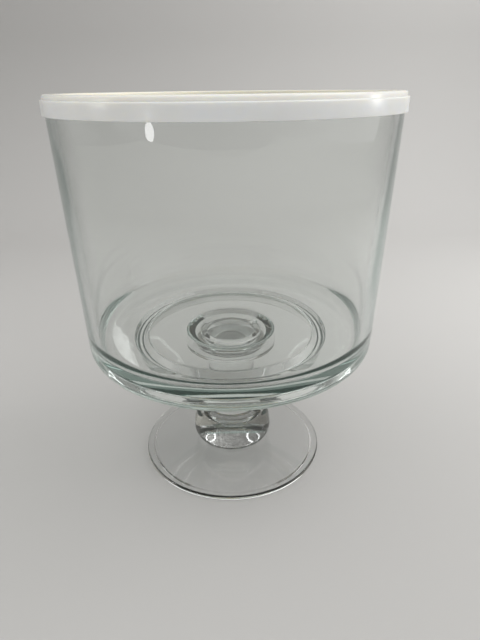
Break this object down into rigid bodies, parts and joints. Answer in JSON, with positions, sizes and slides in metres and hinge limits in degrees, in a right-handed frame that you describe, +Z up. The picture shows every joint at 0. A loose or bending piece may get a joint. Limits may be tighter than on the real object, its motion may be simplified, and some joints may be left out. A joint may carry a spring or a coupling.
{
  "type": "trifle bowl",
  "caption": "Deep clear glass trifle bowl on a twist-off glass pedestal with a knop stem and round foot, closed by a press-on white plastic lid.",
  "frame": {"origin": "centre of the foot's underside, on the table", "axes": "+Z up along the bowl's axis; the twist lock's lugs lie along X at rest"},
  "size_m": [0.2002, 0.2002, 0.2438],
  "materials": {
    "pedestal_glass": "clear polished pressed glass",
    "bowl_glass": "clear polished pressed glass with a faint green tint",
    "lid_plastic": "semi-gloss white moulding, slightly translucent"
  },
  "bodies": {
    "pedestal": {"pedestal": "pedestal_glass"},
    "bowl": {"bowl": "bowl_glass"},
    "lid": {"lid": "lid_plastic"}
  },
  "joints": [
    {"name": "bowl_twist", "type": "hinge", "parent": "pedestal", "child": "bowl", "pos_m": [0, 0, 0.0775], "axis": [0, 0, 1], "range_deg": [0, 90]},
    {"name": "lid_lift", "type": "slide", "parent": "bowl", "child": "lid", "axis": [0, 0, 1], "range_m": [0, 0.1]}
  ]
}
